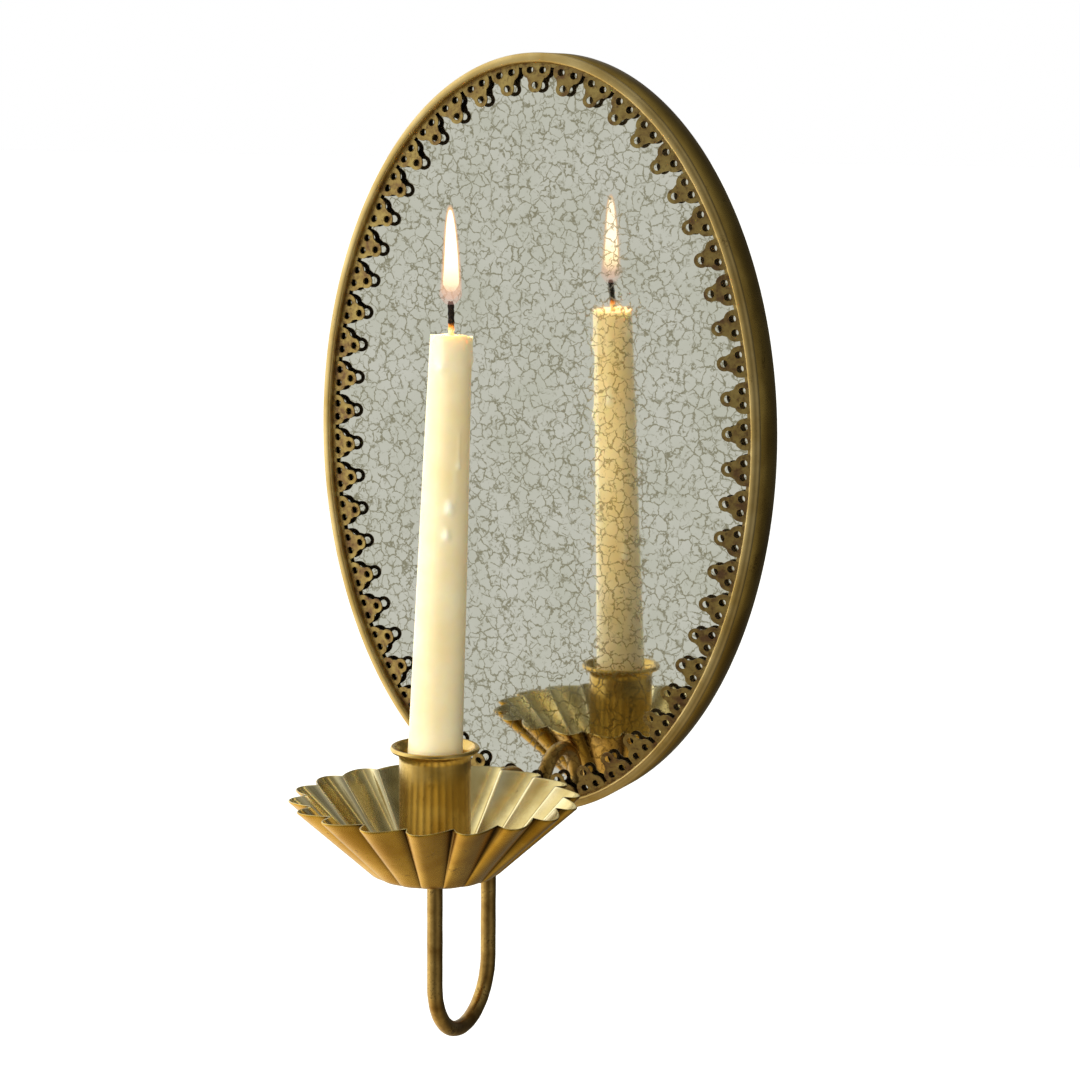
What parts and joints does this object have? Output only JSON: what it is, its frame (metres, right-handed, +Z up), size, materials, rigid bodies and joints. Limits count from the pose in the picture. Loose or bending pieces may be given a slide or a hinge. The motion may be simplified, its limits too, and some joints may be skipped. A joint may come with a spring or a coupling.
{
  "type": "wall sconce candle holder",
  "caption": "Wall sconce with an oval antiqued mirror in a deep brass frame with a pierced edge, and an S-shaped arm that carries a fluted drip tray, a cup and a taper candle.",
  "frame": {"origin": "centre of the keyhole's entry hole in the hanger strap, on the wall's face", "axes": "+X to the right of someone who looks at the mirror, +Y into the wall, +Z up"},
  "size_m": [0.198, 0.1654, 0.3896],
  "materials": {
    "band_brass": "aged, smooth, satin",
    "gallery_bronze": "aged, warm tan with brown patina",
    "mirror_silver": "antiqued silvering with fine brown crackle",
    "gasket_rubber": "matt",
    "card": "plain",
    "hardboard": "smooth pressed board",
    "clip_brass": "plain",
    "bumper_rubber": "matt",
    "strap_brass": "aged, brushed",
    "arm_brass": "aged, mottled brown patina",
    "fixings_brass": "aged, satin",
    "tray_brass": "amber lacquered outside, pale inside, satin",
    "cup_brass": "brushed round, satin",
    "screw_steel": "plain",
    "wax": "ivory wax, soft sheen",
    "wick_cotton": "burnt cotton"
  },
  "bodies": {
    "frame": {"frame_band": "band_brass", "frame_bead": "band_brass", "gallery": "gallery_bronze", "mirror_glass": "mirror_silver", "mirror_gasket": "gasket_rubber", "packing_card": "card", "back_board": "hardboard", "retaining_clip_1": "clip_brass", "retaining_clip_2": "clip_brass", "retaining_clip_3": "clip_brass", "retaining_clip_4": "clip_brass", "retaining_clip_5": "clip_brass", "retaining_clip_6": "clip_brass", "retaining_clip_7": "clip_brass", "retaining_clip_8": "clip_brass", "cleat_right": "clip_brass", "cleat_left": "clip_brass", "cleat_top": "clip_brass", "cleat_bottom": "clip_brass", "bumper_right": "bumper_rubber", "bumper_left": "bumper_rubber", "hanger_strap": "strap_brass", "socket_bracket": "strap_brass", "strap_rivets": "strap_brass", "arm_socket": "strap_brass"},
    "arm": {"arm_rod": "arm_brass", "thrust_washer": "fixings_brass", "lower_washer": "fixings_brass", "acorn_nut": "fixings_brass", "tray_collar": "arm_brass", "drip_tray": "tray_brass", "candle_cup": "cup_brass", "cup_washer": "screw_steel", "cup_screw": "screw_steel"},
    "candle": {"candle_wax": "wax", "candle_wick": "wick_cotton"}
  },
  "joints": [
    {"name": "arm_swivel", "type": "hinge", "parent": "frame", "child": "arm", "pos_m": [0, -0.0265, -0.2605], "axis": [0, 0, 1], "range_deg": [-45, 45]},
    {"name": "candle_lift", "type": "slide", "parent": "arm", "child": "candle", "axis": [0, 0.0802, 0.9968], "range_m": [0, 0.06]}
  ]
}
